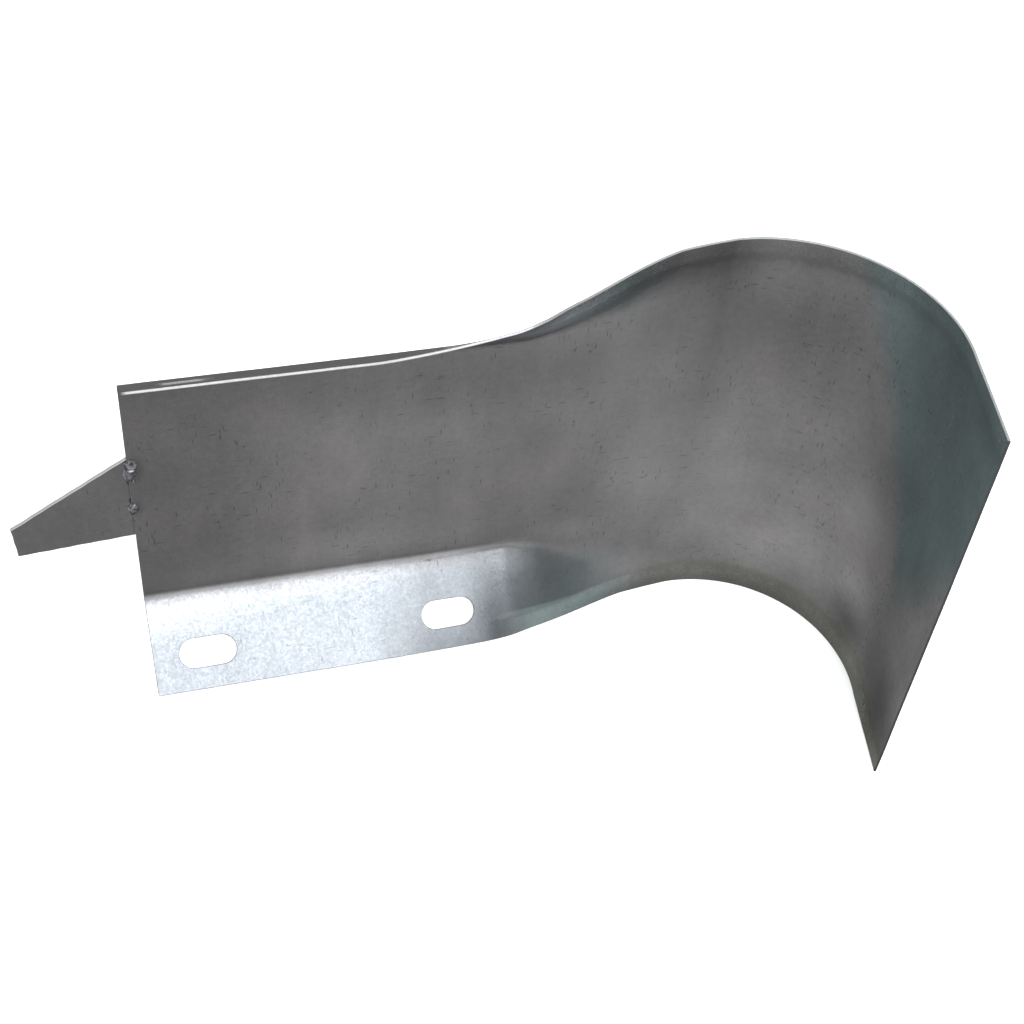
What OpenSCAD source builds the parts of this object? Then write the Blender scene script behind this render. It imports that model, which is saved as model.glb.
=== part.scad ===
// Bullnose guardrail terminal: one pressed sheet that starts as a shallow channel
// and flares into a curled end, with a guide tongue tacked to the channel's end.
// +X along the rail to the nose, +Z up, the inner side of the sheet faces -Y.
// The origin is on the web's inner face, at mid-height, at the centre of the slot pattern.

/* [Channel] */
// height of the flat web between the two bend lines
web_h = 216; // [180:1:260]
// width of a flange, from the bend line to the free edge
flange_w = 75; // [50:0.5:100]
// angle each flange leans from the plane of the web
flange_lean = 51.2; // [30:0.1:90]
// inner radius of the bend between web and flange
bend_r = 9; // [4:0.5:20]
// thickness of the sheet
sheet_t = 2; // [1.5:0.1:4]

/* [Flare] */
// distance from the channel's end to where the flanges start to open
open_x = 160; // [100:5:200]
// angle each flange opens by slowly, from there to the curl
slow_open = 32; // [10:0.5:36]
// distance from the channel's end to where the flanges start to open faster
flare_x = 300; // [260:5:340]
// distance from the channel's end to the kink in the free edge
kink_x = 280; // [240:1:320]
// length of the kink
kink_l = 48; // [10:1:60]
// width of the flatter strip along the free edge, from the kink to the tail
strip_w = 16; // [8:0.5:30]
// angle the strip leans at the kink
strip_lean = 17.5; // [2:0.1:40]
// outer radius of the bend between flange and strip
strip_r = 8; // [4:0.5:20]
// distance from the channel's end to where the flange's bend has spread out to the strip
meet_x = 386; // [330:1:425]
// developed height above mid-height where the bend starts once the flare is open
spread_z = 147; // [110:1:155]
// angle of the small forward lip left along the open edge
lip_lean = 9.8; // [2:0.1:30]

/* [Nose] */
// distance from the channel's end to the start of the curl
arc_x = 428; // [400:1:460]
// inner radius of the curl, in plan
nose_r = 122.5; // [90:0.5:180]
// angle the curl turns through
nose_turn = 103.5; // [80:0.1:120]
// straight length after the curl
tail_l = 76.5; // [20:0.5:120]

/* [Slots] */
// distance of the first slot's centre from the channel's end
slot_x = 41; // [30:1:60]
// distance between slot centres along the rail
slot_pitch = 188; // [150:0.5:220]
// distance of the slots' centres from the bend line, along the flange
slot_v = 47; // [30:0.5:60]
// length of a slot, end to end
slot_l = 43; // [25:0.5:70]
// width of a slot
slot_w = 22.5; // [14:0.5:30]

/* [Tongue] */
// length of the tongue beyond the channel's end
tongue_l = 84.5; // [40:0.5:140]
// height of the tongue at the joint
tongue_root_h = 78; // [50:1:120]
// height of the tongue at its tip
tongue_tip_h = 28; // [15:1:60]
// drop of the tongue's lower edge from the joint to the tip
tongue_drop = 6.3; // [0:0.1:15]
// set-back of the tip's lower corner from its upper one
tip_slant = 2; // [0:0.5:8]
// thickness of the tongue
tongue_t = 3.2; // [2:0.1:6]
// length of the tongue lapped on the web's outer face
tongue_lap = 40; // [20:1:80]

/* [Tack welds] */
// height of the upper tack weld's two beads above mid-height
tack_hi_z = [30, 20]; // [0:1:40]
// radius of the upper tack weld's two beads
tack_hi_r = [6.5, 4.8]; // [3:0.1:8]
// height of the lower tack weld above mid-height
tack_lo_z = -9; // [-30:1:0]
// radius of the lower tack weld
tack_lo_r = 5.8; // [3:0.1:8]
// height of the beads above the web's inner face
tack_h = 1.6; // [1:0.1:4]

/* [Hidden] */
steel = [0.60, 0.62, 0.63];
weld = [0.50, 0.50, 0.51];
// all X distances above are from the channel's end; the origin is this far from it
org = slot_x + slot_pitch / 2;
tan_l = bend_r * tan(flange_lean / 2);
half = web_h / 2 + flange_w - 2 * tan_l + bend_r * flange_lean * PI / 180;
arc_l = nose_r * nose_turn * PI / 180;
end_s = arc_x + arc_l + tail_l;
strip_u = half - strip_w;
kink_a = kink_x - kink_l / 2;
nb = 8;
eps = 0.05;

function clamp(v) = max(0, min(1, v));
function part_of(s, a, b) = clamp((s - a) / (b - a));
function smooth(t) = t * t * (3 - 2 * t);
// angle the flange leans at a distance s along the sheet
function lean(s) =
    s > arc_x ? max(0.5, lip_lean * (1 - part_of(s, arc_x + arc_l, end_s)))
    : flange_lean - slow_open * pow(part_of(s, open_x, arc_x), 1.5)
        - (flange_lean - slow_open - lip_lean) * smooth(part_of(s, flare_x, arc_x));
// angle the strip along the free edge leans, equal to the flange's up to the kink
function edge_lean(s) =
    let (w = smooth(part_of(s, kink_a, kink_a + kink_l)))
    let (v = strip_lean + (lip_lean - strip_lean) * part_of(s, kink_x, arc_x))
    lean(s) * (1 - w) + min(v, lean(s)) * w;
// developed distances from mid-height where the flange's bend starts and ends
function chan_a(s) = web_h / 2 - bend_r * tan(lean(min(s, kink_x)) / 2);
function chan_b(s) = chan_a(s) + bend_r * lean(min(s, kink_x)) * PI / 180;
function bend_a(s) =
    chan_a(s) + (spread_z - chan_a(kink_x)) * pow(part_of(s, kink_x, arc_x), 1.3);
function bend_b(s) = chan_b(s) + (strip_u - chan_b(s)) * pow(part_of(s, kink_x, meet_x), 1.4);
function rad(s) = (bend_b(s) - bend_a(s)) * 180 / PI / lean(s);
// where the strip's own bend ends
function strip_b(s) = strip_u + strip_r * (lean(s) - edge_lean(s)) * PI / 180;
// height and forward depth of the point at developed distance u from mid-height
function sec_z(s, u) =
    let (a = bend_a(s), b = bend_b(s), r = rad(s), l = lean(s), e = strip_b(s))
    u <= a ? u
    : u <= b ? a + r * sin((u - a) / r * 180 / PI)
    : u <= strip_u ? a + r * sin(l) + (u - b) * cos(l)
    : let (t = l - (min(u, e) - strip_u) / strip_r * 180 / PI)
        a + r * sin(l) + (strip_u - b) * cos(l) + strip_r * (sin(l) - sin(t))
            + max(0, u - e) * cos(t);
function sec_d(s, u) =
    let (a = bend_a(s), b = bend_b(s), r = rad(s), l = lean(s), e = strip_b(s))
    u <= a ? 0
    : u <= b ? r * (1 - cos((u - a) / r * 180 / PI))
    : u <= strip_u ? r * (1 - cos(l)) + (u - b) * sin(l)
    : let (t = l - (min(u, e) - strip_u) / strip_r * 180 / PI)
        r * (1 - cos(l)) + (strip_u - b) * sin(l) + strip_r * (cos(t) - cos(l))
            + max(0, u - e) * sin(t);
// plan position of the web's inner face, and the direction of its inner side
function turn(s) = nose_turn * part_of(s, arc_x, arc_x + arc_l);
function plan(s) =
    let (a = turn(s), r = max(0, s - arc_x - arc_l))
    s <= arc_x ? [s - org, 0]
    : [arc_x - org + nose_r * sin(a) + r * cos(a), nose_r * (cos(a) - 1) - r * sin(a)];
function inward(s) = [-sin(turn(s)), -cos(turn(s))];
function pt(s, u) =
    let (v = abs(u), p = plan(s), n = inward(s), d = sec_d(s, v))
    [p[0] + n[0] * d, p[1] + n[1] * d, (u < 0 ? -1 : 1) * sec_z(s, v)];
function unit(v) = v / norm(v);
function nrm(s, u) =
    unit(cross(pt(s, u + eps) - pt(s, u - eps), pt(s + eps, u) - pt(s - eps, u)));

// stations along the sheet, and developed positions across it
st = concat(
    [0, open_x / 2, open_x],
    [for (i = [1:6]) open_x + i * (kink_a - open_x) / 6],
    [for (i = [1:10]) kink_a + i * kink_l / 10],
    [for (i = [1:17]) kink_a + kink_l + i * (arc_x - kink_a - kink_l) / 17],
    [for (i = [1:20]) arc_x + i * arc_l / 20],
    [for (i = [1:4]) arc_x + arc_l + i * tail_l / 4]);
function across(s) =
    let (a = bend_a(s), c = strip_u, b = min(bend_b(s), c - 3), e = max(strip_b(s), c + 3))
    concat([0, a / 3, a * 2 / 3], [for (k = [0:nb]) a + k * (b - a) / nb],
        [(b + c) / 2, c], [for (k = [1:3]) c + k * (e - c) / 3], [half]);
function row(s) =
    let (v = across(s), n = len(v))
    concat([for (k = [n - 1:-1:1]) -v[k]], v);
nk = len(row(0));
ns = len(st);
inner_pts = [for (s = st) for (u = row(s)) pt(s, u)];
outer_pts = [for (s = st) for (u = row(s)) pt(s, u) + sheet_t * nrm(s, u)];
function quad(a, b, c, d, flip) = flip ? [[a, c, b], [a, d, c]] : [[a, d, b], [b, d, c]];
function two(a, b, c, d) = [[a, c, b], [a, d, c]];
mid = (nk - 1) / 2;
nn = nk * ns;
sheet_faces = concat(
    [for (i = [0:ns - 2]) for (k = [0:nk - 2])
        let (a = i * nk + k)
        for (f = quad(a, a + nk, a + nk + 1, a + 1, k < mid)) f],
    [for (i = [0:ns - 2]) for (k = [0:nk - 2])
        let (a = nn + i * nk + k)
        for (f = quad(a, a + nk, a + nk + 1, a + 1, k < mid)) [f[2], f[1], f[0]]],
    [for (i = [0:ns - 2])
        let (a = i * nk)
        for (f = two(a, nn + a, nn + a + nk, a + nk)) f],
    [for (i = [0:ns - 2])
        let (a = i * nk + nk - 1)
        for (f = two(a, a + nk, nn + a + nk, nn + a)) f],
    [for (k = [0:nk - 2])
        for (f = two(k, k + 1, nn + k + 1, nn + k)) f],
    [for (k = [0:nk - 2])
        let (a = (ns - 1) * nk + k)
        for (f = two(a, nn + a, nn + a + 1, a + 1)) f]);

module slot_shape() {
    square([slot_l - slot_w, slot_w], center = true);
    translate([(slot_l - slot_w) / 2, 0]) circle(d = slot_w, $fn = 64);
    translate([(slot_w - slot_l) / 2, 0]) circle(d = slot_w, $fn = 64);
}

module slot_cut(x) {
    a = lean(x);
    translate([x - org, -slot_v * sin(a), web_h / 2 + slot_v * cos(a)])
        rotate([90 + a, 0, 0])
            translate([0, 0, -12])
                linear_extrude(height = 24) slot_shape();
}

// the pressed sheet: channel, flare, curl and tail in one piece
module terminal_sheet() {
    color(steel)
    difference() {
        polyhedron(points = concat(inner_pts, outer_pts), faces = sheet_faces, convexity = 6);
        slot_cut(slot_x);
        slot_cut(slot_x + slot_pitch);
        mirror([0, 0, 1]) slot_cut(slot_x);
        mirror([0, 0, 1]) slot_cut(slot_x + slot_pitch);
    }
}

// the flat guide tongue, lapped on the web's outer face
module tongue_plate() {
    lo = -tongue_root_h / 2;
    tip = lo - tongue_drop;
    color(steel)
    translate([-org, sheet_t + tongue_t, 0])
        rotate([90, 0, 0])
            linear_extrude(height = tongue_t)
                polygon([[tongue_lap, lo], [tongue_lap, -lo], [0, -lo],
                    [-tongue_l, tip + tongue_tip_h], [tip_slant - tongue_l, tip], [0, lo]]);
}

// one round weld bead in the step between the tongue and the web's end edge
module bead(r, z) {
    h = tack_h + sheet_t;
    ball = (r * r + h * h) / (2 * h);
    half_a = asin(r / ball);
    translate([-org, sheet_t, z])
        rotate([90, 0, 0])
            rotate_extrude($fn = 48)
                polygon(concat([[0, 0]], [for (i = [0:8])
                    let (a = half_a * (1 - i / 8))
                    [ball * sin(a), ball * cos(a) - ball + h]]));
}

// the web beside its end edge, and the clear space over its inner face
module web_end() {
    translate([-org, -20, -web_h / 4]) cube([20, 20 + sheet_t + 1, web_h / 2]);
}

module upper_tack_weld() {
    color(weld)
    difference() {
        union() {
            bead(tack_hi_r[0], tack_hi_z[0]);
            bead(tack_hi_r[1], tack_hi_z[1]);
        }
        web_end();
    }
}

module lower_tack_weld() {
    color(weld)
    difference() {
        bead(tack_lo_r, tack_lo_z);
        web_end();
    }
}

terminal_sheet();
tongue_plate();
upper_tack_weld();
lower_tack_weld();
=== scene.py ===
"""Looks of the bullnose guardrail terminal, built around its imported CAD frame.

Lengths are written in millimetres and angles in degrees; MM turns a length into Blender's metres.
A place on the sheet is given by s, the distance along it from the channel's end, and u, the distance
across it from mid-height measured along the surface.
"""

import math

import bpy
import numpy as np
from mathutils import Matrix, Vector


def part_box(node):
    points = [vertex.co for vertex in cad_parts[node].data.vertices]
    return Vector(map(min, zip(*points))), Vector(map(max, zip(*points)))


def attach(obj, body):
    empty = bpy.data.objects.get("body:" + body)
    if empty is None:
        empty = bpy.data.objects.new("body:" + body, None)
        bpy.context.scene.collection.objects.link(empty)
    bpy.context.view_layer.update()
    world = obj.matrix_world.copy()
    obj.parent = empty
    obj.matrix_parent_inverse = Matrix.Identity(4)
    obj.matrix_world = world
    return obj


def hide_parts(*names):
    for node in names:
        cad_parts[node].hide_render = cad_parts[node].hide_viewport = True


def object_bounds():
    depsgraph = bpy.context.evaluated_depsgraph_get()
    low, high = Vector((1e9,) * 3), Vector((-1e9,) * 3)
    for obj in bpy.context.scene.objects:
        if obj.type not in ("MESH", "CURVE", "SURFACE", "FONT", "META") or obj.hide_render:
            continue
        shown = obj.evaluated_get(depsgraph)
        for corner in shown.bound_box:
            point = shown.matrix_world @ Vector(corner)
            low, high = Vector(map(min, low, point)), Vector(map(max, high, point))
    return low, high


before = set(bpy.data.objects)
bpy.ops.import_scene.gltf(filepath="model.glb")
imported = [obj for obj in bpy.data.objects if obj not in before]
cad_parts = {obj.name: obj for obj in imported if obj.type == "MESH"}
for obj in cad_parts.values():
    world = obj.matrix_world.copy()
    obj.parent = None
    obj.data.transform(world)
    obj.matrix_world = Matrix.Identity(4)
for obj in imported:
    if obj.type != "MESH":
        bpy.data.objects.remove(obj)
cad_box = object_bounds()

MM = 0.001
RAD = math.pi / 180

# ---------------------------------------------------------------- the driving sizes, as in the CAD
web_h = 216
flange_w = 75
flange_lean = 51.2
bend_r = 9
sheet_t = 2.0

open_x = 160
slow_open = 32
flare_x = 300
kink_x = 280
kink_l = 48
strip_w = 16
strip_lean = 17.5
strip_r = 8
meet_x = 386
spread_z = 147
lip_lean = 9.8

arc_x = 428
nose_r = 122.5
nose_turn = 103.5
tail_l = 76.5

slot_x = 41
slot_pitch = 188
slot_v = 47
slot_l = 43
slot_w = 22.5

tongue_tip_h = 28
tip_slant = 2
tongue_t = 3.2

channel_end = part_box("terminal_sheet")[0].x / MM
tan_l = bend_r * math.tan(flange_lean * RAD / 2)
half = web_h / 2 + flange_w - 2 * tan_l + bend_r * flange_lean * RAD
strip_u = half - strip_w
arc_l = nose_r * nose_turn * RAD
end_s = arc_x + arc_l + tail_l


# ---------------------------------------------------------------- the sheet's form
def share(s, start, end):
    return np.clip((s - start) / (end - start), 0, 1)


def smooth(t):
    return t * t * (3 - 2 * t)


def lean(s):
    """Angle that the flange leans from the web's plane."""
    slow = slow_open * share(s, open_x, arc_x) ** 1.5
    fast = (flange_lean - slow_open - lip_lean) * smooth(share(s, flare_x, arc_x))
    nose = np.maximum(0.5, lip_lean * (1 - share(s, arc_x + arc_l, end_s)))
    return np.where(s > arc_x, nose, flange_lean - slow - fast)


def edge_lean(s):
    """Angle that the strip along the free edge leans."""
    w = smooth(share(s, kink_x - kink_l / 2, kink_x + kink_l / 2))
    strip = strip_lean + (lip_lean - strip_lean) * share(s, kink_x, arc_x)
    return lean(s) * (1 - w) + np.minimum(strip, lean(s)) * w


def channel_bend(s):
    """Where the channel's bend starts and ends across the sheet."""
    angle = lean(np.minimum(s, kink_x)) * RAD
    start = web_h / 2 - bend_r * np.tan(angle / 2)
    return start, start + bend_r * angle


def bend(s):
    """Where the flange's bend starts and ends, spreading as the flare opens."""
    start, end = channel_bend(s)
    start_at_kink = float(channel_bend(np.array(float(kink_x)))[0])
    start = start + (spread_z - start_at_kink) * share(s, kink_x, arc_x) ** 1.3
    end = end + (strip_u - end) * share(s, kink_x, meet_x) ** 1.4
    return start, end


def section(s, u):
    """Height and forward depth of the inner face at distance u >= 0 from mid-height."""
    a, b = bend(s)
    angle = lean(s) * RAD
    edge_angle = edge_lean(s) * RAD
    r = (b - a) / angle
    e = strip_u + strip_r * (angle - edge_angle)
    turned = np.clip((u - a) / (b - a), 0, 1) * angle
    flat = np.clip(u, b, np.maximum(b, strip_u)) - b
    back = angle - np.clip((u - strip_u) / strip_r, 0, angle - edge_angle)
    rest = np.maximum(0, u - e)
    z = np.minimum(u, a) + r * np.sin(turned) + flat * np.cos(angle)
    z = z + strip_r * (np.sin(angle) - np.sin(back)) + rest * np.cos(edge_angle)
    d = r * (1 - np.cos(turned)) + flat * np.sin(angle)
    d = d + strip_r * (np.cos(back) - np.cos(angle)) + rest * np.sin(edge_angle)
    return z, d


NOSE_EASE = 0.18
NORMAL_STEP = 0.05      # reach of the differences that give normals
TAIL_STEP = 7           # the same along the tail, so that the curl's end shows no line


def ripple(s, u):
    """The slight unevenness that pressing and hot zinc leave in a real sheet, about 0.2 mm.

    Round the curl the face also moves in by NOSE_EASE, which keeps the waves inside the CAD's outline.
    """
    broad = 0.08 * np.sin(s / 31 + 1.3 * np.sin(u / 47)) * np.sin(u / 37 + 0.8)
    middle = 0.056 * np.sin(s / 17 + u / 53 + 2.1) * np.sin(u / 23 - s / 71)
    fine = 0.04 * np.sin(s / 9.5 + 0.4 * np.sin(u / 19)) * np.cos(u / 13 + s / 90)
    return broad + middle + fine + NOSE_EASE * smooth(share(s, arc_x, arc_x + 60))


def inner_face(s, u):
    """Points on the sheet's inner face, in millimetres."""
    z, d = section(s, np.abs(u))
    a = nose_turn * RAD * share(s, arc_x, arc_x + arc_l)
    tail = np.maximum(0, s - arc_x - arc_l)
    x = channel_end + np.minimum(s, arc_x) + nose_r * np.sin(a) + tail * np.cos(a)
    y = nose_r * (np.cos(a) - 1) - tail * np.sin(a)
    d = d + ripple(s, u)
    return np.stack([x - np.sin(a) * d, y - np.cos(a) * d, np.sign(u) * z], -1)


def unit(v):
    return v / np.linalg.norm(v, axis=-1, keepdims=True)


def outward(s, u):
    """Unit normals that point out of the sheet's outer face."""
    curl_end = arc_x + arc_l
    span = NORMAL_STEP + TAIL_STEP * smooth(share(s, curl_end - 30, curl_end - 12))
    across = inner_face(s, u + NORMAL_STEP) - inner_face(s, u - NORMAL_STEP)
    along = inner_face(s + span, u) - inner_face(s - span, u)
    return unit(np.cross(across, along))


# ---------------------------------------------------------------- the sheet's mesh
ARRIS = 0.45          # radius of the zinc-rounded cut edges
ARRIS_STEPS = 3
HOLE_RINGS = 5
HOLE_MARGIN_S, HOLE_MARGIN_U = 9, 6      # the ringed area round a slot


def spread(stops):
    """Positions from a list of (end, step) stretches, starting at the first end."""
    out = [stops[0][0]]
    for (start, _), (end, step) in zip(stops, stops[1:]):
        n = max(1, round((end - start) / step))
        out += [start + (end - start) * (i + 1) / n for i in range(n)]
    return out


def slot_centres():
    """(s, u) of the four slots' centres."""
    out = []
    for s in (slot_x, slot_x + slot_pitch):
        angle = float(lean(np.array(float(s)))) * RAD
        end = float(channel_bend(np.array(float(s)))[1])
        u = end + slot_v - bend_r * math.tan(angle / 2)
        out += [(s, u), (s, -u)]
    return out


def on_slot(angle):
    """Point of a slot's outline, from its centre, in the direction of angle."""
    r = slot_w / 2
    h = (slot_l - slot_w) / 2
    c, s = abs(math.cos(angle)), abs(math.sin(angle))
    if s > 1e-9 and r / s * c <= h:
        reach = r / s
    else:
        reach = h * c + math.sqrt(max(0.0, r * r - (h * s) ** 2))
    return reach * math.cos(angle), reach * math.sin(angle)


def slot_normal(x, y):
    """Direction from a slot's outline into the metal."""
    h = (slot_l - slot_w) / 2
    dx = x - max(-h, min(h, x))
    size = math.hypot(dx, y)
    return dx / size, y / size


class Pattern:
    """Flat layout of the sheet in (s, u): places, quads, and rims round the outside and the slots."""

    def __init__(self, s_lines, u_lines):
        self.places = []
        self.into = []       # for a rim place, the direction into the metal
        self.quads = []
        self.rims = []
        ns, nu = len(s_lines), len(u_lines)
        windows = [self.window(s_lines, u_lines, c) for c in slot_centres()]
        ids = {}
        for i, s in enumerate(s_lines):
            for j, u in enumerate(u_lines):
                if not any(a < i < b and c < j < d for a, b, c, d in windows):
                    ids[i, j] = self.add(s, u)
        for i in range(ns - 1):
            for j in range(nu - 1):
                if not any(a <= i < b and c <= j < d for a, b, c, d in windows):
                    self.quads.append((ids[i, j], ids[i + 1, j], ids[i + 1, j + 1], ids[i, j + 1]))
        for centre, window in zip(slot_centres(), windows):
            self.ring(ids, self.round_window(window), centre)
        outside = self.round_window((0, ns - 1, 0, nu - 1))
        for i, j in outside:
            s_dir = (i == 0) - (i == ns - 1)
            u_dir = (j == 0) - (j == nu - 1)
            size = math.hypot(s_dir, u_dir)
            self.into[ids[i, j]] = (s_dir / size, u_dir / size)
        self.rims.append([ids[k] for k in outside])

    def add(self, s, u, into=(0, 0)):
        self.places.append((s, u))
        self.into.append(into)
        return len(self.places) - 1

    @staticmethod
    def window(s_lines, u_lines, centre):
        near = lambda lines, x: min(range(len(lines)), key=lambda k: abs(lines[k] - x))
        reach_s, reach_u = slot_l / 2 + HOLE_MARGIN_S, slot_w / 2 + HOLE_MARGIN_U
        s, u = centre
        return (near(s_lines, s - reach_s), near(s_lines, s + reach_s),
                near(u_lines, u - reach_u), near(u_lines, u + reach_u))

    @staticmethod
    def round_window(w):
        a, b, c, d = w
        out = [(i, c) for i in range(a, b)] + [(b, j) for j in range(c, d)]
        return out + [(i, d) for i in range(b, a, -1)] + [(a, j) for j in range(d, c, -1)]

    def ring(self, ids, loop, centre):
        """Fills the window between its border and the slot with rings of quads."""
        last = [ids[k] for k in loop]
        border = [self.places[k] for k in last]
        edge = []
        for s, u in border:
            edge.append(on_slot(math.atan2(u - centre[1], s - centre[0])))
        for k in range(1, HOLE_RINGS + 1):
            t = k / HOLE_RINGS
            new = []
            for (s, u), (x, y) in zip(border, edge):
                into = slot_normal(x, y) if k == HOLE_RINGS else (0, 0)
                new.append(self.add(s + (centre[0] + x - s) * t, u + (centre[1] + y - u) * t, into))
            n = len(new)
            for m in range(n):
                self.quads.append((last[m], last[(m + 1) % n], new[(m + 1) % n], new[m]))
            last = new
        self.rims.append(last[::-1])


def plate_mesh(flat, face, out, thickness):
    """One closed plate over a flat layout, with rounded cut edges and exact normals.

    face gives points of the front face for places in the layout, and out gives unit normals there,
    which point through the metal towards the back face.
    """
    places = np.array(flat.places)
    into = np.array(flat.into, float)
    n = len(places)

    def lay(ids, inset, depth, tilt):
        """Points and normals of places moved into the metal by inset and through it by depth."""
        p = places[ids] + into[ids] * inset
        normal = out(p[:, 0], p[:, 1])
        point = face(p[:, 0], p[:, 1]) + normal * depth
        beyond = p - into[ids] * 0.1
        side = face(beyond[:, 0], beyond[:, 1]) - face(p[:, 0], p[:, 1])
        length = np.linalg.norm(side, axis=-1, keepdims=True)
        side = np.where(length > 1e-6, side / np.maximum(length, 1e-6), 0)
        return point, unit(normal * math.sin(tilt) + side * math.cos(tilt))

    everything = np.arange(n)
    front, front_n = lay(everything, ARRIS, 0.0, -math.pi / 2)
    back, back_n = lay(everything, ARRIS, thickness, math.pi / 2)
    points, normals = [front, back], [front_n, back_n]
    dev = [np.column_stack([places, np.zeros(n)]), np.column_stack([places, -np.ones(n)])]
    faces = [tuple(q) for q in flat.quads]
    faces += [tuple(n + k for k in q[::-1]) for q in flat.quads]
    tilts = [-math.pi / 2 + math.pi / 2 * k / ARRIS_STEPS for k in range(1, ARRIS_STEPS + 1)]
    tilts += [-t for t in tilts[::-1]]
    count = 2 * n
    for rim in flat.rims:
        rim = np.array(rim)
        m = len(rim)
        rows = [rim]
        for k, tilt in enumerate(tilts):
            inset = ARRIS * (1 - math.cos(tilt))
            depth = ARRIS * (1 + math.sin(tilt))
            if k >= ARRIS_STEPS:
                depth = thickness - ARRIS * (1 - math.sin(tilt))
            point, normal = lay(rim, inset, depth, tilt)
            points.append(point)
            normals.append(normal)
            dev.append(np.column_stack([places[rim], np.ones(m)]))
            rows.append(np.arange(count, count + m))
            count += m
        rows.append(rim + n)
        for low, high in zip(rows, rows[1:]):
            for k in range(m):
                j = (k + 1) % m
                faces.append((int(low[j]), int(low[k]), int(high[k]), int(high[j])))
    return np.concatenate(points), faces, np.concatenate(normals), np.concatenate(dev)


def sheet_mesh():
    """The whole pressed sheet, on a grid that is finest across the bends."""
    s_lines = spread([(0, 0), (end_s, 3.6)])
    upper = spread([(0, 0), (100, 5), (115, 1), (strip_u - 1, 2.5), (strip_u + 5, 0.9), (half, 2.7)])
    u_lines = [-u for u in upper[:0:-1]] + upper
    return plate_mesh(Pattern(s_lines, u_lines), inner_face, outward, sheet_t)


# ---------------------------------------------------------------- the tongue's mesh
class TongueLayout:
    """Flat layout of the tongue in (x from the channel's end, z), with slightly uneven cut sides."""

    def __init__(self, nx=62, nz=30):
        corners = tongue_corners()
        self.places, self.quads, self.rims = [], [], []
        for i in range(nx + 1):
            for j in range(nz + 1):
                self.places.append(self.place(corners, i / nx, j / nz))
        at = lambda i, j: i * (nz + 1) + j
        for i in range(nx):
            for j in range(nz):
                self.quads.append((at(i, j), at(i + 1, j), at(i + 1, j + 1), at(i, j + 1)))
        loop = [at(i, 0) for i in range(nx)] + [at(nx, j) for j in range(nz)]
        loop += [at(i, nz) for i in range(nx, 0, -1)] + [at(0, j) for j in range(nz, 0, -1)]
        self.rims.append(loop)
        self.into = [(0, 0)] * len(self.places)
        m = len(loop)
        for k in range(m):
            x0, z0 = self.places[loop[k - 1]]
            x1, z1 = self.places[loop[(k + 1) % m]]
            size = math.hypot(x1 - x0, z1 - z0)
            self.into[loop[k]] = ((z0 - z1) / size, (x1 - x0) / size)

    @staticmethod
    def place(corners, p, q):
        """Place at share p from tip to lap and share q from the lower side to the upper."""
        (tip_lo, tip_hi), (root_lo, root_hi), (lap_lo, lap_hi) = corners
        bend_at = 0.68
        if p < bend_at:
            t = p / bend_at
            lo = [a + (b - a) * t for a, b in zip(tip_lo, root_lo)]
            hi = [a + (b - a) * t for a, b in zip(tip_hi, root_hi)]
        else:
            t = (p - bend_at) / (1 - bend_at)
            lo = [a + (b - a) * t for a, b in zip(root_lo, lap_lo)]
            hi = [a + (b - a) * t for a, b in zip(root_hi, lap_hi)]
        x = lo[0] + (hi[0] - lo[0]) * q
        z = lo[1] + (hi[1] - lo[1]) * q
        uneven = 0.12 * math.sin(x / 2.3 + 3 * q) + 0.10 * math.sin(x / 5.9 + 1.7)
        side = (2 * q - 1) ** 3
        x += (0.14 + 0.12 * math.sin(z / 2.1)) * (1 - p) ** 3      # an uneven cut at the tip
        return x, z - side * (0.22 + uneven)


def tongue_corners():
    """Lower and upper corners at the tip, at the joint and at the end of the lap, read from the CAD."""
    lo, hi = (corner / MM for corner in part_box("tongue_plate"))
    low = lo.z
    lap = hi.x - channel_end
    tip = lo.x - channel_end
    root = hi.z
    return (((tip + tip_slant, low), (tip, low + tongue_tip_h)), ((0, -root), (0, root)),
            ((lap, -root), (lap, root)))


TONGUE_GAP = 0.02        # between the sheet's outer face and the tongue
TONGUE_SLACK = 0.2       # what the dished face takes off the tongue's thickness


def tongue_face(x, z):
    """The tongue's front face, lying on the sheet's outer face and slightly dished beyond it."""
    dish = 0.12 * np.sin(x / 23 + 0.7) * np.sin(z / 19 + 1.1)
    dish = np.where(x < 0, dish * np.minimum(1, -x / 15), 0)
    return np.stack([x + channel_end, sheet_t + TONGUE_GAP + np.abs(dish), z], -1)


def tongue_out(x, z):
    down = tongue_face(x, z - NORMAL_STEP) - tongue_face(x, z + NORMAL_STEP)
    along = tongue_face(x + NORMAL_STEP, z) - tongue_face(x - NORMAL_STEP, z)
    return unit(np.cross(along, down))


# ---------------------------------------------------------------- the tack welds' meshes
WELD_RINGS, WELD_SPOKES = 40, 120


def from_middle(x, z, middle, reach):
    """Distance from a spot's middle, 1 at its oval foot."""
    return np.hypot((x - middle[0]) / reach[0], (z - middle[1]) / reach[1])


def mound(x, z, middle, reach, height):
    """An oval spot of weld metal; negative outside its foot."""
    return height * (1 - from_middle(x, z, middle, reach) ** 2.2)


def crater(x, z, middle, reach, depth):
    return -depth * np.exp(-(from_middle(x, z, middle, reach) ** 2) * 1.6)


def spatter(x, z):
    """Unevenness of frozen weld metal."""
    rough = 0.10 * np.sin(1.9 * x + 1.3 * np.sin(1.1 * z)) * np.sin(1.6 * z + 0.9)
    return rough + 0.05 * np.sin(3.7 * x - 2.2 * z + 0.4) * np.sin(2.9 * z + 1.3 * x)


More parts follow.
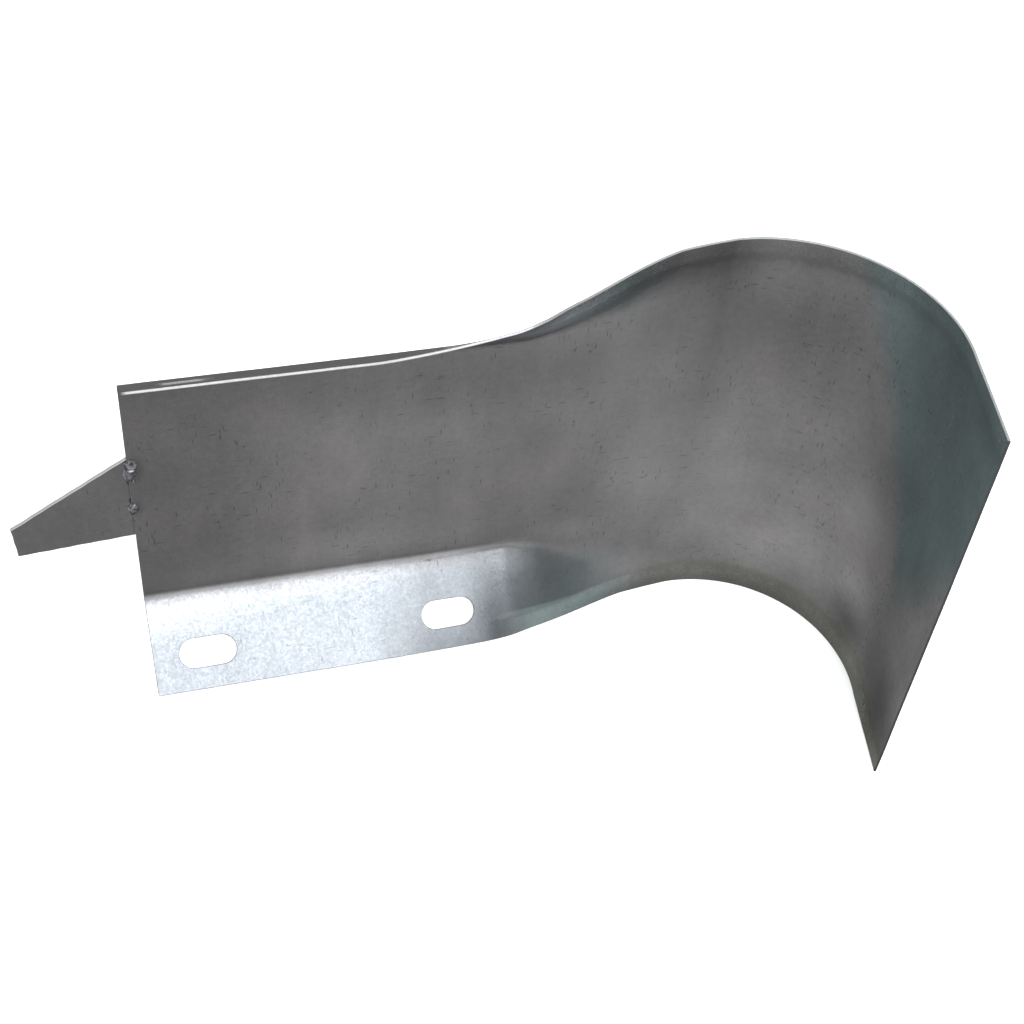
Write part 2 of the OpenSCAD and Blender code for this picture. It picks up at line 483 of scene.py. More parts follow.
def upper_weld_height(x, z):
    bowl = mound(x, z, (3.0, 34.4), (4.2, 6.2), 1.6) + crater(x, z, (3.3, 35.2), (2.4, 3.8), 1.5)
    ledge = mound(x, z, (2.4, 29.4), (3.4, 1.2), 2.0)
    shelf = mound(x, z, (0.4, 23.8), (3.6, 5.6), 0.6)
    drop = mound(x, z, (3.2, 18.4), (1.3, 1.7), 1.1)
    corner = mound(x, z, (0.2, 37.2), (2.6, 3.2), 1.3)
    top = np.maximum(np.maximum(bowl, ledge), np.maximum(shelf, drop))
    top = np.maximum(top, corner) + spatter(x, z)
    hollow = from_middle(x, z, (4.6, 25.6), (2.0, 2.9)) < 1
    return np.where(hollow, 0.12, top)


def lower_weld_height(x, z):
    bead = mound(x, z, (0.4, -9.0), (4.1, 5.8), 0.9) + crater(x, z, (1.2, -10.4), (1.7, 2.4), 0.7)
    along, across = 0.69 * x + 0.72 * z, 0.72 * x - 0.69 * z
    ridge = mound(along, across, (-4.6, 4.9), (3.8, 1.0), 2.1)
    notch = crater(x, z, (-3.0, -8.2), (1.3, 1.8), 1.2)
    return np.maximum(bead, ridge) + notch + spatter(x, z)


WELD_SINK = 0.3          # how far the foot lies under the surface
WELD_LEFT = 6            # how far a weld reaches over the tongue, left of the channel's end
STEP_REACH = 2.4         # the metal comes down from the web's face to the tongue's within this
NECK_LOW, NECK_HIGH = 34, 37      # above the tongue's top corner a weld stays on the web,
NECK_LEFT = 0.2                   # this far right of the channel's end
ROOT_IN_TONGUE, ROOT_IN_WEB = 0.5, 0.6      # how deep a weld's back lies
STEP_PAINTED_LIGHT = 0.8         # painted light: what the step down to the tongue adds to the height that gives the colour


def weld_mesh(height, centre, half_x, half_z):
    """A closed spot of weld metal that bridges the step from the tongue up to the web's face.

    It is an oval in (x from the channel's end, z), with a front that follows height.
    """
    rings = np.arange(1, WELD_RINGS + 1) / WELD_RINGS
    angles = np.arange(WELD_SPOKES) * 2 * math.pi / WELD_SPOKES
    x = np.append(centre[0], centre[0] + half_x * np.outer(rings, np.cos(angles)).ravel())
    z = np.append(centre[1], centre[1] + half_z * np.outer(rings, np.sin(angles)).ravel())
    left = -WELD_LEFT + (WELD_LEFT + NECK_LEFT) * smooth(share(z, NECK_LOW, NECK_HIGH))
    squeeze = (centre[0] - left) / (centre[0] + WELD_LEFT)
    x = centre[0] + (x - centre[0]) * np.where(x < centre[0], squeeze, 1.0)
    step = sheet_t * smooth(share(-x, 0.0, STEP_REACH))
    top = np.maximum(height(x, z), -WELD_SINK)
    on_step = smooth(share(-x, 0.0, 1.2)) * smooth(share(x, -4.5, -2.5))
    # the height that sets the weld's painted light and shade
    raised = np.clip(top + STEP_PAINTED_LIGHT * on_step, 0, 3)
    n = len(x)
    front = np.stack([x + channel_end, step - top, z], -1)
    back = np.stack([x + channel_end, np.where(x < 0, sheet_t + ROOT_IN_TONGUE, ROOT_IN_WEB), z], -1)
    faces = []
    for k in range(WELD_SPOKES):
        j = (k + 1) % WELD_SPOKES
        faces.append((0, 1 + k, 1 + j))
        for ring in range(WELD_RINGS - 1):
            a, b = 1 + ring * WELD_SPOKES, 1 + (ring + 1) * WELD_SPOKES
            faces.append((a + k, b + k, b + j, a + j))
    faces += [tuple(n + m for m in f[::-1]) for f in faces]
    edge = 1 + (WELD_RINGS - 1) * WELD_SPOKES
    for k in range(WELD_SPOKES):
        j = (k + 1) % WELD_SPOKES
        faces.append((edge + j, edge + k, n + edge + k, n + edge + j))
    points = np.concatenate([front, back])
    dev = np.column_stack([np.tile(x, 2), np.tile(z, 2), np.tile(raised, 2)])
    return points, faces, None, dev


def make_object(name, points, faces, normals=None, dev=None):
    """A mesh object from points in millimetres; dev holds each point's own coordinates in the piece."""
    mesh = bpy.data.meshes.new(name)
    mesh.from_pydata((points * MM).tolist(), [], faces)
    mesh.validate()
    mesh.polygons.foreach_set("use_smooth", [True] * len(mesh.polygons))
    if normals is not None:
        mesh.normals_split_custom_set_from_vertices(normals.tolist())
    if dev is not None:
        layer = mesh.attributes.new("dev", "FLOAT_VECTOR", "POINT")
        layer.data.foreach_set("vector", dev.astype(np.float32).ravel())
    ob = bpy.data.objects.new(name, mesh)
    bpy.context.scene.collection.objects.link(ob)
    return ob


# ---------------------------------------------------------------- helpers to lay out nodes
METALLIC = 0.6
NOISE_SPAN = (0.3, 0.7)      # most of a noise texture's values lie between these


class Nodes:
    """Short helpers to lay out one material's nodes."""

    def __init__(self, name):
        self.material = bpy.data.materials.new(name)
        self.material.use_nodes = True
        self.tree = self.material.node_tree
        self.tree.nodes.clear()

    def add(self, kind, **values):
        node = self.tree.nodes.new("ShaderNode" + kind)
        for key, value in values.items():
            setattr(node, key, value)
        return node

    def link(self, source, target):
        self.tree.links.new(source, target)

    def feed(self, socket, value):
        if isinstance(value, bpy.types.NodeSocket):
            self.link(value, socket)
        else:
            socket.default_value = value

    def place(self):
        """The piece's own coordinates, whole and apart: s, u and the third value."""
        dev = self.add("Attribute", attribute_name="dev").outputs["Vector"]
        parts = self.add("SeparateXYZ")
        self.link(dev, parts.inputs[0])
        return dev, parts.outputs[0], parts.outputs[1], parts.outputs[2]

    # numbers
    def math(self, operation, a, b=0.0):
        node = self.add("Math", operation=operation)
        self.feed(node.inputs[0], a)
        self.feed(node.inputs[1], b)
        return node.outputs[0]

    def plus(self, a, b):
        return self.math("ADD", a, b)

    def times(self, first, *others):
        for other in others:
            first = self.math("MULTIPLY", first, other)
        return first

    def size(self, value):
        return self.math("ABSOLUTE", value)

    def between(self, factor, a, b):
        """The number a where factor is 0, and b where it is 1."""
        return self.plus(self.times(self.math("SUBTRACT", b, a), factor), a)

    def remap(self, value, low, high, to_low=0.0, to_high=1.0):
        """value taken from low...high to to_low...to_high, and held at those ends."""
        node = self.add("MapRange")
        self.link(value, node.inputs["Value"])
        ends = {"From Min": low, "From Max": high, "To Min": to_low, "To Max": to_high}
        for key, end in ends.items():
            node.inputs[key].default_value = end
        return node.outputs["Result"]

    def vary(self, noise, amount):
        """A factor that strays from 1 by about amount, as a noise texture does."""
        return self.remap(noise, *NOISE_SPAN, 1 - amount, 1 + amount)

    def ramp(self, value, stops):
        """A smooth curve that runs near (place, level) stops, with levels up to 2."""
        node = self.add("ValToRGB")
        node.color_ramp.interpolation = "B_SPLINE"
        elements = node.color_ramp.elements
        elements.remove(elements[1])
        span = stops[-1][0]
        for k, (place, level) in enumerate(stops):
            element = elements[0] if k == 0 else elements.new(place / span)
            element.position = place / span
            element.color = (level / 2, level / 2, level / 2, 1)
        self.link(self.math("DIVIDE", value, span), node.inputs["Fac"])
        return self.times(node.outputs["Color"], 2.0)

    def patches(self, vector, tone, places):
        """Tone changed by soft oval patches: each has its middle, its reach and what it adds."""
        for (s, u), (reach_s, reach_u), amount in places:
            here = self.add("Mapping")
            self.link(vector, here.inputs["Vector"])
            here.inputs["Scale"].default_value = (1 / reach_s, 1 / reach_u, 0)
            here.inputs["Location"].default_value = (-s / reach_s, -u / reach_u, 0)
            ball = self.add("TexGradient", gradient_type="SPHERICAL")
            self.link(here.outputs["Vector"], ball.inputs["Vector"])
            soft = self.add("MapRange", interpolation_type="SMOOTHSTEP")
            self.link(ball.outputs["Fac"], soft.inputs["Value"])
            soft.inputs["To Min"].default_value = 1.0
            soft.inputs["To Max"].default_value = 1.0 + amount
            tone = self.times(tone, soft.outputs["Result"])
        return tone

    # patterns
    def stretch(self, vector, scale, turn=0.0):
        node = self.add("Mapping")
        self.link(vector, node.inputs["Vector"])
        node.inputs["Scale"].default_value = scale
        node.inputs["Rotation"].default_value = (0, 0, turn)
        return node.outputs["Vector"]

    def noise(self, vector, scale, detail=2.0, roughness=0.5):
        node = self.add("TexNoise")
        self.link(vector, node.inputs["Vector"])
        node.inputs["Scale"].default_value = scale
        node.inputs["Detail"].default_value = detail
        node.inputs["Roughness"].default_value = roughness
        return node.outputs["Fac"]

    def cells(self, vector, scale):
        """A cell texture: its node, and the random values of the cell that a point lies in."""
        node = self.add("TexVoronoi", feature="F1")
        self.link(vector, node.inputs["Vector"])
        node.inputs["Scale"].default_value = scale
        parts = self.add("SeparateColor")
        self.link(node.outputs["Color"], parts.inputs[0])
        return node, parts.outputs

    def dashes(self, vector, rarity):
        """1 in the middle of the few cells whose random value is above rarity, 0 elsewhere."""
        node, values = self.cells(vector, 1.0)
        chosen = self.remap(values[0], rarity, rarity + 0.01)
        near = self.remap(node.outputs["Distance"], 0.10, 0.55, 1.0, 0.0)
        return self.times(chosen, near)

    # colours and normals
    def mix(self, factor, a, b):
        node = self.add("Mix", data_type="RGBA")
        self.feed(node.inputs["Factor"], factor)
        self.feed(node.inputs["A"], a)
        self.feed(node.inputs["B"], b)
        return node.outputs["Result"]

    def scale_colour(self, colour, factor):
        node = self.add("VectorMath", operation="SCALE")
        self.feed(node.inputs[0], colour)
        self.feed(node.inputs["Scale"], factor)
        return node.outputs["Vector"]

    def tilt(self, cell_node, amount):
        """The surface's normal, tilted a little at random in each cell."""
        offset = self.add("VectorMath", operation="SUBTRACT")
        self.link(cell_node.outputs["Color"], offset.inputs[0])
        offset.inputs[1].default_value = (0.5, 0.5, 0.5)
        turned = self.add("VectorMath", operation="ADD")
        self.link(self.scale_colour(offset.outputs[0], amount), turned.inputs[0])
        self.link(self.add("NewGeometry").outputs["Normal"], turned.inputs[1])
        whole = self.add("VectorMath", operation="NORMALIZE")
        self.link(turned.outputs[0], whole.inputs[0])
        return whole.outputs[0]

    def bump(self, height, strength, distance):
        node = self.add("Bump")
        self.feed(node.inputs["Strength"], strength)
        node.inputs["Distance"].default_value = distance
        self.link(height, node.inputs["Height"])
        return node

    def metal(self, colour, rough, bump):
        """Ends the material with its shader."""
        shader = self.add("BsdfPrincipled")
        shader.inputs["Metallic"].default_value = METALLIC
        shader.inputs["Specular Tint"].default_value = (0.0, 0.0, 0.0, 1)
        shader.inputs["Specular IOR Level"].default_value = 0.0
        self.link(colour, shader.inputs["Base Color"])
        self.link(rough, shader.inputs["Roughness"])
        self.link(bump.outputs["Normal"], shader.inputs["Normal"])
        self.link(shader.outputs[0], self.add("OutputMaterial").inputs["Surface"])
        return self.material


# ---------------------------------------------------------------- painted light and shade on the sheet's zinc
UPPER_OUTER_PAINTED_SHADE = 0.9            # the upper flange's outer face, as far as the flare: painted shade
OUTER_LEVEL = 1.5      # the rest of the outer face, even
STRIP_PAINTED_LIGHT = 1.62           # painted light on the strip along the lower free edge, in the flare

# painted light and shade of the inner face along the sheet, standing in for the surroundings that it
# mirrors: (s, level)
SHEET_PAINTED_LIGHT = [(0, 0.54), (60, 0.57), (110, 0.74), (170, 0.87), (230, 0.83), (290, 0.77),
               (340, 0.84), (400, 1.02), (450, 0.98), (500, 0.85), (560, 0.94), (600, 1.1),
               (650, 1.36), (720, 1.5)]

# painted highlights, reflections and shade on the inner face as soft zones, with dark heat stains by the
# welds: middle (s, u), reach, and what each adds
PAINTED_LIGHT_AND_HEAT_STAINS = [
    # the channel
    ((120, -92), (190, 46), 0.40), ((10, -122), (110, 30), 0.40), ((40, -98), (80, 20), 0.18),
    ((120, 128), (150, 34), -0.25), ((230, 78), (240, 50), -0.22),
    # dark heat stains round the two tack welds
    ((5, 29), (9, 19), -0.32), ((3, -9), (8, 12), -0.28),
    # where the lower flange opens
    ((240, -150), (30, 50), 0.25), ((264, -160), (20, 28), -0.28), ((282, -118), (32, 22), 0.60),
    ((294, -136), (24, 34), 0.22), ((325, -100), (40, 22), 0.25), ((375, -155), (50, 30), 0.2),
    ((390, -182), (80, 22), -0.32),
    # where the upper flange opens
    ((300, 155), (60, 50), 1.1), ((370, 165), (40, 30), -0.22), ((385, 120), (45, 60), -0.20),
    ((415, 168), (60, 60), -0.42),
    # the curl
    ((430, -50), (100, 90), 0.22), ((490, 110), (120, 120), -0.42), ((500, 174), (70, 26), -0.28),
    ((500, -56), (110, 28), 0.15), ((485, -102), (45, 24), -0.20), ((525, -115), (130, 62), 0.62),
    ((490, -150), (60, 30), 0.18), ((500, -184), (160, 30), -0.38), ((568, -40), (60, 60), 0.25),
    ((600, -105), (30, 40), 0.2), ((600, -150), (32, 44), -0.32),
    # the tail
    ((640, -45), (34, 40), -0.10), ((680, -12), (30, 40), -0.18), ((703, -32), (26, 34), 0.16),
    ((690, -150), (70, 70), -0.45), ((700, 165), (60, 30), -0.22)]

# painted highlight and shade across the lower bend, by distance below a line at BEND_LINE from
# mid-height
BEND_LINE = 98
BEND_PAINTED_LIGHT = [(0, 1.0), (3.5, 0.98), (5.5, 0.80), (7.5, 0.84), (9.0, 1.5), (11.0, 2.0), (12.0, 1.3),
              (13.0, 0.68), (15.5, 0.82), (18.5, 0.97), (22, 1.0)]
BEND_START, BEND_END = web_h / 2 - 6, web_h / 2 + 5


def painted_sheet_light(n, dev, s, u, inner, on_strip):
    """How light the zinc is: painted light and shade on the inner face, and on the outer face an even
    level, with the upper flange's outer face in painted shade.
    """
    # the lower flange lighter towards the channel's end: a painted highlight
    lower_flange = n.times(n.remap(u, -BEND_START, -BEND_END), n.remap(s, 250, 330, 1.0, 0.0))
    painted_flange_light = n.times(lower_flange, n.remap(s, 0, 220, 0.62, 0.25))
    shade = n.plus(n.ramp(s, SHEET_PAINTED_LIGHT), painted_flange_light)
    # painted highlight and shade across the lower bend, fading out towards the kink
    painted_bend = n.ramp(n.math("SUBTRACT", n.times(u, -1.0), BEND_LINE), BEND_PAINTED_LIGHT)
    shade = n.times(shade, n.between(n.remap(s, 235, 280, 1.0, 0.0), 1.0, painted_bend))
    # painted light on the strip, then the painted zones and heat stains
    shade = n.times(shade, n.remap(on_strip, 0.0, 1.0, 1.0, STRIP_PAINTED_LIGHT))
    shade = n.patches(dev, shade, PAINTED_LIGHT_AND_HEAT_STAINS)
    # the upper flange's outer face, as far as the flare, in painted shade
    upper_flange = n.times(n.remap(u, 98, 110), n.remap(s, 330, 400, 1.0, 0.0))
    outer = n.remap(upper_flange, 0.0, 1.0, OUTER_LEVEL, UPPER_OUTER_PAINTED_SHADE)
    return n.between(inner, outer, shade)


def lower_strip(n, s, u):
    """1 on the strip that turns out along the lower free edge, where the flange opens."""
    below = n.plus(u, n.remap(s, 285, 340, strip_u - 4, strip_u - 1))
    return n.times(n.remap(below, 0.8, -0.8), n.remap(s, 268, 300), n.remap(s, 345, 405, 1.0, 0.0))


def free_edge(n, tone, s, u, mottle, grain):
    """Tone with a speckled band along both free edges past the kink, and a thin dark line by it."""
    far = n.size(u)
    band = n.remap(n.plus(far, n.remap(mottle, *NOISE_SPAN, -4, 4)), half - 15, half - 11)
    band = n.times(band, n.remap(s, kink_x, kink_x + 60))
    tone = n.times(tone, n.between(band, 1.0, n.remap(grain, 0.46, 0.64, 1.04, 1.32)))
    off_line = n.size(n.plus(far, n.remap(mottle, *NOISE_SPAN, 21 - half, 17 - half)))
    line = n.remap(off_line, 0, 5, 0.07, 0.0)
    return n.math("SUBTRACT", tone, n.times(line, n.remap(s, kink_x + 60, kink_x + 120)))


# ---------------------------------------------------------------- the sheet's tints: painted reflection colours
# red, green and blue against the plain zinc: WARM is the zinc's own clouding, the others are painted
# reflection colours of the inner face
WARM = (1.015, 0.985, 0.985)
COOL = (0.81, 1.0, 1.01)
BLUE = (0.93, 0.99, 1.04)
OLIVE = (0.98, 1.0, 0.91)
TEAL = (0.82, 1.0, 0.97)
# how much darker the cool zones are: painted shade
COOL_PAINTED_SHADE = 0.90


def tinted(metal, tint):
    return (*(part * share_of for part, share_of in zip(metal, tint)), 1)


def painted_reflection_tints(n, base, metal, s, u, inner, on_strip):
    """The inner face's colour with painted reflection colours, a cool nose and flare edges, bluish
    flanges, an olive lower edge and a teal strip; and how cool.
    """
    far = n.size(u)
    past_curl = n.remap(n.plus(s, n.times(u, 0.5)), 603, 624)
    above_point = n.remap(n.plus(u, n.times(s, -1.27)), -905, -850)
    nose = n.times(past_curl, inner, above_point)
    flare_edge = n.times(n.remap(far, 122, 140), n.remap(s, 270, 300), n.remap(s, 340, 390, 0.75, 0.0))
    cool = n.math("MAXIMUM", nose, n.times(flare_edge, inner))
    blue = n.times(n.remap(far, 105, 125), n.remap(s, 290, 330, 1.0, 0.0), inner)
    olive = n.times(n.remap(u, -150, -165), n.remap(s, 370, 430), inner)
    base = n.mix(cool, base, tinted(metal, COOL))
    base = n.mix(blue, base, tinted(metal, BLUE))
    base = n.mix(olive, base, tinted(metal, OLIVE))
    return n.mix(n.times(on_strip, inner), base, tinted(metal, TEAL)), cool


# cut edge colours: the lower ones, the upper one round the nose lighter as a painted highlight, and the
# tail's end face
LOWER_RIM = (0.10, 0.098, 0.10)
NOSE_RIM_HIGHLIGHT = (0.185, 0.188, 0.188)
TAIL_RIM = (0.040, 0.040, 0.042)


def sheet_rim(n, upper_colour, s, u):
    """Colours of the cut edges: the upper ones lighter as a painted highlight and lighter still round
    the nose, the others darker, and the two end faces.
    """
    tail = n.remap(s, end_s - 1.2, end_s - 0.6)
    end_face = n.math("MAXIMUM", n.remap(s, 0.6, 1.2, 1.0, 0.0), tail)
    upper = n.times(n.remap(u, 160, 165), n.math("SUBTRACT", 1.0, end_face))
    colour = n.mix(upper, (*LOWER_RIM, 1), (*upper_colour, 1))
    colour = n.mix(n.times(upper, n.remap(s, 330, 430)), colour, (*NOSE_RIM_HIGHLIGHT, 1))
    return n.mix(tail, colour, (*TAIL_RIM, 1))


# ---------------------------------------------------------------- zinc
CRYSTAL = 1.5                # size of a zinc crystal
CRYSTAL_TURN = 0.5           # radians, which keeps the crystals off the sheet's own directions
CRYSTAL_TILT = 0.045
MARK_TONE = 0.38             # how much darker the short marks are
SCUFF_TONE = 0.12            # how much lighter the rubbed streaks are
TONGUE_BACK = 1.45           # the tongue's back against its front, which is darkened as painted shade
BUMP_STRENGTH = 0.5
BUMP_DISTANCE = 0.0001       # metres
DOTTED_PLACE = 641           # fine bump fades here, because the denoiser makes a line of dots of it


def zinc_marks(n, dev, s, u):
    """Short dark marks, upright, level and round, and lighter scuffs: 1 on each, 0 elsewhere."""
    upright = n.dashes(n.stretch(dev, (0.80, 0.14, 1)), 0.935)
    level = n.dashes(n.stretch(dev, (0.12, 0.85, 1), 0.05), 0.95)
    dots = n.dashes(n.stretch(dev, (0.42, 0.30, 1)), 0.985)
    scuffs = n.dashes(n.stretch(dev, (0.05, 0.7, 1)), 0.985)
    gathered = n.remap(n.noise(dev, 0.016), 0.42, 0.60, 0.15, 1.2)
    on_web = n.remap(n.plus(n.size(u), n.times(s, -0.2)), 50.0, 80.0, 1.0, 0.25)
    dark = n.math("MAXIMUM", n.math("MAXIMUM", upright, level), dots)
    return n.times(dark, gathered, on_web), n.times(scuffs, gathered)


def zinc(name, metal, edge, marks=1.0, sheet=False):
    """Hot-dip zinc: fine spangle, clouding, drawing streaks, short dark marks and cut edges; on the
    sheet, painted light, shade and reflection colours too.

    Its coordinates are the piece's own: s along it, u across it, and a flag that is 0 on the front
    face, -1 on the back face and 1 on the cut edges.
    """
    n = Nodes(name)
    dev, s, u, flag = n.place()
    rim = n.math("MAXIMUM", flag, 0.0)
    front = n.plus(n.math("MINIMUM", flag, 0.0), 1.0)

    cloud = n.noise(dev, 0.011, 3.0, 0.55)
    patch = n.noise(n.stretch(dev, (1, 0.35, 1)), 0.035)
    mottle = n.noise(dev, 0.16, 3.0, 0.6)
    grain = n.noise(dev, 0.75, 2.0, 0.6)
    streak = n.noise(n.stretch(dev, (0.9, 0.03, 1)), 1.0, 3.0)
    crystals, crystal = n.cells(n.stretch(dev, (1, 1, 1), CRYSTAL_TURN), 1 / CRYSTAL)
    dark, scuff = zinc_marks(n, dev, s, u)

    tone = n.times(n.vary(cloud, 0.10), n.vary(patch, 0.06), n.vary(mottle, 0.05))
    tone = n.times(tone, n.remap(crystal[0], 0.0, 1.0, 0.965, 1.035), n.vary(streak, 0.022))
    tone = n.times(tone, n.remap(dark, 0.0, 1.0, 1.0, 1.0 - MARK_TONE * marks))
    tone = n.times(tone, n.remap(scuff, 0.0, 1.0, 1.0, 1.0 + SCUFF_TONE * marks))
    warm = n.remap(n.plus(cloud, n.remap(s, 0.0, 260.0, 0.12, 0.0)), 0.46, 0.66)
    base = n.mix(warm, (*metal, 1), tinted(metal, WARM))
    rough = n.plus(n.remap(cloud, *NOISE_SPAN, 0.38, 0.42), n.remap(crystal[1], 0.0, 1.0, -0.035, 0.035))
    rough = n.plus(rough, n.remap(dark, 0.0, 1.0, 0.0, 0.2))
    edge_colour, tilt, strength = (*edge, 1), CRYSTAL_TILT, BUMP_STRENGTH
    if sheet:
        on_strip = lower_strip(n, s, u)
        # painted light and shade on the sheet
        tone = n.times(tone, painted_sheet_light(n, dev, s, u, front, on_strip))
        tone = free_edge(n, tone, s, u, mottle, grain)
        # painted reflection colours on the inner face
        base, cool = painted_reflection_tints(n, base, metal, s, u, front, on_strip)
        # painted shade in the cool zones
        tone = n.times(tone, n.remap(cool, 0.0, 1.0, 1.0, COOL_PAINTED_SHADE))
        # cut edge colours, the upper ones with a painted highlight
        edge_colour = sheet_rim(n, edge, s, u)
        rough = n.plus(rough, n.remap(s, 590, 650, 0.0, 0.10))
        tilt = n.remap(s, 560, 620, CRYSTAL_TILT, 0.0)
        from_dots = n.size(n.math("SUBTRACT", s, DOTTED_PLACE))
        strength = n.remap(from_dots, 8.0, 22.0, 0.0, BUMP_STRENGTH)
    else:
        # the tongue's front keeps its painted shade, its back is lighter
        tone = n.times(tone, n.remap(front, 0.0, 1.0, TONGUE_BACK, 1.0))
    colour = n.mix(rim, n.scale_colour(base, tone), edge_colour)
    rough = n.plus(rough, n.remap(rim, 0.0, 1.0, 0.0, 0.05))

    height = n.plus(n.plus(n.times(grain, 0.12), n.times(mottle, 0.5)), n.times(streak, 0.18))
    bump = n.bump(height, strength, BUMP_DISTANCE)
    n.link(n.tilt(crystals, tilt), bump.inputs["Normal"])
    return n.metal(colour, rough, bump)


# ---------------------------------------------------------------- weld metal and the floor
# weld metal in painted shade where it lies low, and in painted light where it stands high
WELD_PAINTED_SHADE = (0.030, 0.029, 0.030, 1)
WELD_PAINTED_LIGHT = (0.150, 0.148, 0.158, 1)


def weld_metal():
    """Bare, slightly blued weld metal with frozen ripples, in painted shade where it lies low and in
    painted light where it stands high.
    """
    n = Nodes("weld_metal")
    dev, _, _, raised = n.place()
    flow = n.noise(dev, 0.35)
    grain = n.noise(dev, 1.1)
    raised = n.plus(raised, n.remap(flow, *NOISE_SPAN, -0.25, 0.25))
    colour = n.mix(n.remap(raised, 0.1, 1.5), WELD_PAINTED_SHADE, WELD_PAINTED_LIGHT)
    colour = n.scale_colour(colour, n.vary(grain, 0.15))
    rough = n.plus(n.remap(flow, *NOISE_SPAN, 0.26, 0.36), n.remap(grain, *NOISE_SPAN, -0.04, 0.04))
    bump = n.bump(n.plus(n.times(grain, 0.6), flow), 0.8, 0.0003)
    return n.metal(colour, rough, bump)


def paper_floor():
    n = Nodes("studio_floor")
    where = n.add("TexCoord").outputs["Object"]
    shader = n.add("BsdfPrincipled")
    shader.inputs["Roughness"].default_value = 0.9
    shader.inputs["Specular IOR Level"].default_value = 0.1
    tint = n.mix(n.noise(where, 1.5), (0.91, 0.885, 0.87, 1), (0.93, 0.905, 0.89, 1))
    n.link(tint, shader.inputs["Base Color"])
    n.link(shader.outputs[0], n.add("OutputMaterial").inputs["Surface"])
    return n.material


# ---------------------------------------------------------------- the pieces
def place_piece(ob, node, material):
    ob.data.materials.append(material)
    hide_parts(node)
    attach(ob, "root")


# the sheet's zinc, and its upper cut edges lighter as a painted highlight
SHEET_ZINC, SHEET_EDGE_HIGHLIGHT = (0.1067, 0.1030, 0.1037), (0.175, 0.166, 0.168)
# the tongue's zinc, darkened as painted shade like the web beside it
TONGUE_PAINTED_SHADE_ZINC, TONGUE_EDGE = (0.062, 0.060, 0.061), (0.31, 0.30, 0.305)
TONGUE_MARKS = 0.6

place_piece(make_object("sheet", *sheet_mesh()), "terminal_sheet",
            zinc("galvanised_sheet", SHEET_ZINC, SHEET_EDGE_HIGHLIGHT, sheet=True))
tongue_mesh = plate_mesh(TongueLayout(), tongue_face, tongue_out, tongue_t - TONGUE_SLACK)
place_piece(make_object("tongue", *tongue_mesh), "tongue_plate",
            zinc("galvanised_tongue", TONGUE_PAINTED_SHADE_ZINC, TONGUE_EDGE, marks=TONGUE_MARKS))
weld_look = weld_metal()
upper_weld = make_object("upper_weld", *weld_mesh(upper_weld_height, (2.2, 27.8), 7.4, 13.4))
place_piece(upper_weld, "upper_tack_weld", weld_look)
lower_weld = make_object("lower_weld", *weld_mesh(lower_weld_height, (0.0, -8.8), 6.2, 7.4))
place_piece(lower_weld, "lower_tack_weld", weld_look)

# ---------------------------------------------------------------- floor, light and camera, in metres
FLOOR_REACH = 12
FLOOR_GAP = 0.0003
LIGHT_REACH = 2.8
LIGHT_TARGET = (0.1, 0, 0)
FRONT_LIGHT = (0.92, 0.965, 1.0)
SIDE_LIGHT = (0.95, 1.0, 0.98)
BACK_LIGHT = (1.0, 1.0, 1.0)
ROOM_LIGHT = (0.90, 1.0, 0.97, 1)
ROOM_STRENGTH = 0.40

LENS, SENSOR = 59.843, 36              # millimetres
SHIFT = (-0.06641, 0.03223)            # shares of the frame's width
PITCH, YAW, ROLL = 47.537, -23.213, -8.950
EYE = (-22.4, -861.1, 901.0)           # millimetres from the middle of the channel's end


def make_floor():
    z = cad_box[0].z - FLOOR_GAP
    corners = [(x * FLOOR_REACH, y * FLOOR_REACH, z) for x, y in ((-1, -1), (1, -1), (1, 1), (-1, 1))]
    mesh = bpy.data.meshes.new("floor")
    mesh.from_pydata(corners, [], [(0, 1, 2, 3)])
    mesh.materials.append(paper_floor())
    ob = bpy.data.objects.new("floor", mesh)
    bpy.context.scene.collection.objects.link(ob)


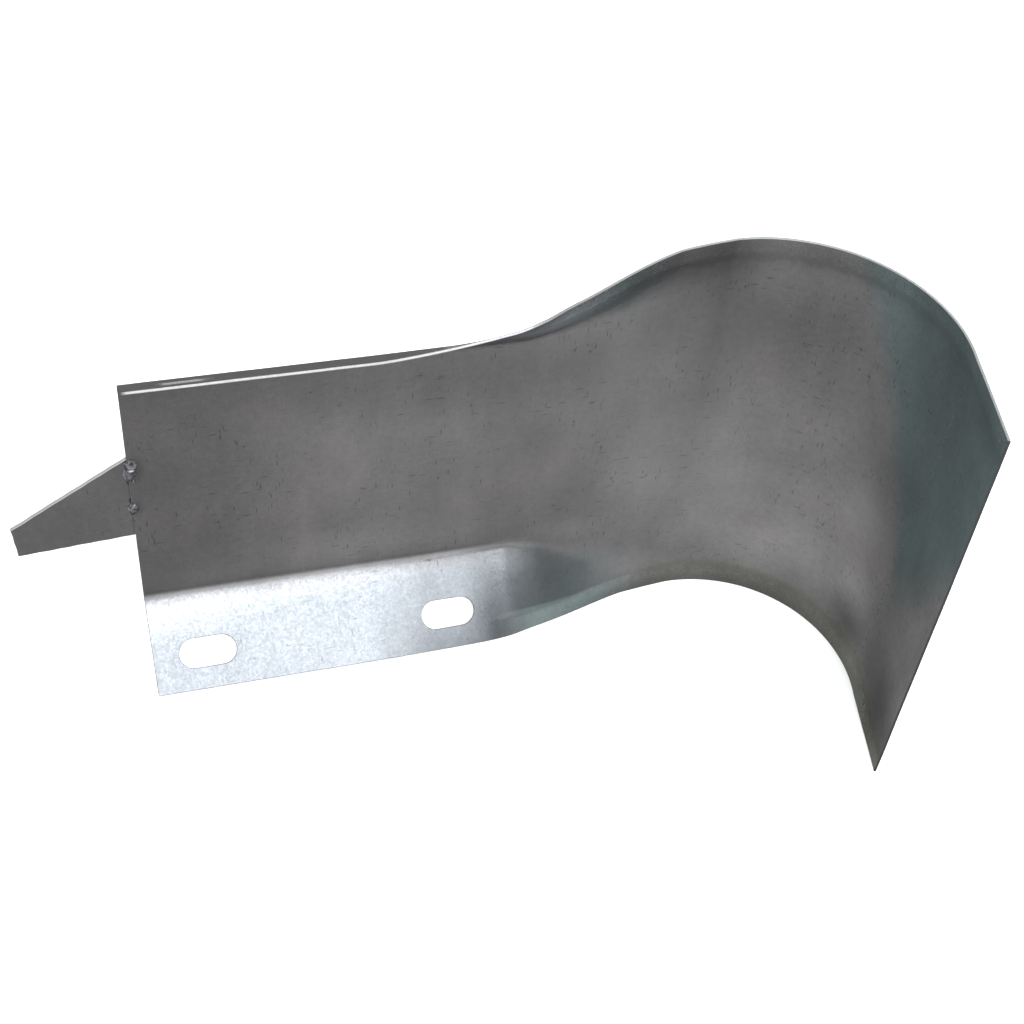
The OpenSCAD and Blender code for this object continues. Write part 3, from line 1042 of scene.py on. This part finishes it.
def softbox(name, azimuth, elevation, wide, high, power, colour):
    """An area light LIGHT_REACH away, placed and sized by angles seen from LIGHT_TARGET.

    Azimuth 0 is in front of the web, and 90 is beyond the nose.
    """
    level = Vector((math.sin(azimuth * RAD), -math.cos(azimuth * RAD), 0)) * math.cos(elevation * RAD)
    out = level + Vector((0, 0, math.sin(elevation * RAD)))
    data = bpy.data.lights.new(name, "AREA")
    data.shape = "RECTANGLE"
    data.size = 2 * LIGHT_REACH * math.tan(wide * RAD / 2)
    data.size_y = 2 * LIGHT_REACH * math.tan(high * RAD / 2)
    data.energy = power
    data.color = colour
    ob = bpy.data.objects.new(name, data)
    ob.location = out * LIGHT_REACH + Vector(LIGHT_TARGET)
    ob.rotation_euler = (-out).to_track_quat("-Z", "Y").to_euler()
    bpy.context.scene.collection.objects.link(ob)


def make_room():
    world = bpy.data.worlds.new("studio")
    bpy.context.scene.world = world
    world.use_nodes = True
    background = world.node_tree.nodes["Background"]
    background.inputs["Color"].default_value = ROOM_LIGHT
    background.inputs["Strength"].default_value = ROOM_STRENGTH


def make_camera():
    data = bpy.data.cameras.new("camera")
    data.sensor_width = SENSOR
    data.lens = LENS
    data.shift_x, data.shift_y = SHIFT
    data.clip_start = 0.01
    yaw = Matrix.Rotation(YAW * RAD, 3, "Z")
    pitch = Matrix.Rotation(-PITCH * RAD, 3, "X")
    roll = Matrix.Rotation(ROLL * RAD, 3, "Y")
    turn = yaw @ pitch @ roll
    right, ahead, up = (turn @ Vector(axis) for axis in ((1, 0, 0), (0, 1, 0), (0, 0, 1)))
    pose = Matrix((right, up, -ahead)).transposed().to_4x4()
    pose.translation = (Vector(EYE) + Vector((channel_end, 0, 0))) * MM
    ob = bpy.data.objects.new("camera", data)
    ob.matrix_world = pose
    bpy.context.scene.collection.objects.link(ob)
    bpy.context.scene.camera = ob


make_floor()
softbox("front_softbox_left", -12.5, 49, 25, 20, 62, FRONT_LIGHT)
softbox("front_softbox_right", 12.5, 48.5, 25, 21, 100, FRONT_LIGHT)
softbox("side_softbox", -90, 45, 40, 30, 50, SIDE_LIGHT)
softbox("back_softbox", 150, 54, 46, 30, 60, BACK_LIGHT)
make_room()
make_camera()
bpy.context.scene.view_settings.view_transform = "Standard"
